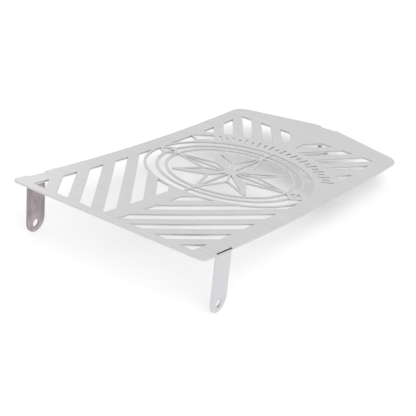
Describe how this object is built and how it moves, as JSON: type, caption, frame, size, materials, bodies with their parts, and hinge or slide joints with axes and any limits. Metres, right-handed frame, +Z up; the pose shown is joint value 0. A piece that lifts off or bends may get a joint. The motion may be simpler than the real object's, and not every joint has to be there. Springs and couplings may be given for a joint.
{
  "type": "radiator guard",
  "caption": "Motorcycle radiator guard: a gently bent sheet with chevron slots, a compass rose in rings, a scale band and fold-down fixing tabs with holes.",
  "frame": {"origin": "centre of the guard's box at the bottom, on the floor that the three tab ends stand on", "axes": "+X across the guard, the two sides are mirror images; +Y along it, from the straight end with the side tabs to the peaked end with the end tab; +Z up, from the tabs' ends to the sheet"},
  "size_m": [0.159, 0.3229, 0.0496],
  "materials": {
    "sheet": "fine brushed stainless, satin"
  },
  "bodies": {
    "root": {"guard": "sheet"}
  },
  "joints": []
}
